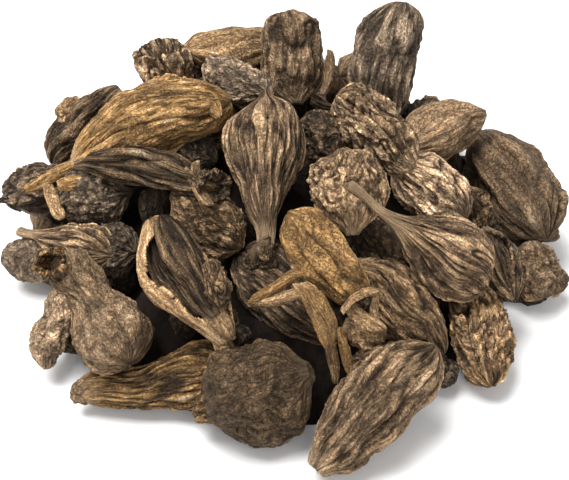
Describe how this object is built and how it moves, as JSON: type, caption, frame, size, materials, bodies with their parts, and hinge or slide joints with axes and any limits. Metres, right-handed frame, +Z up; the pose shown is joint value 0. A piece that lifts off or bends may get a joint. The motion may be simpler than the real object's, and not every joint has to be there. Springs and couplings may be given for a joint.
{
  "type": "heap of black cardamom pods",
  "caption": "Loose heap of dried, smoked black cardamom pods with wrinkled husks, a few of them split open, lying on a flat surface.",
  "frame": {"origin": "on the surface that the heap lies on, under the middle of its bounding box", "axes": "+Z up; +Y away from the viewer who sees the shown side; +X to that viewer's right"},
  "size_m": [0.114, 0.1132, 0.0432],
  "materials": {
    "husk": "dry, fibrous, wrinkled brown husk, matt"
  },
  "bodies": {
    "root": {"pod_heap": "husk"}
  },
  "joints": []
}
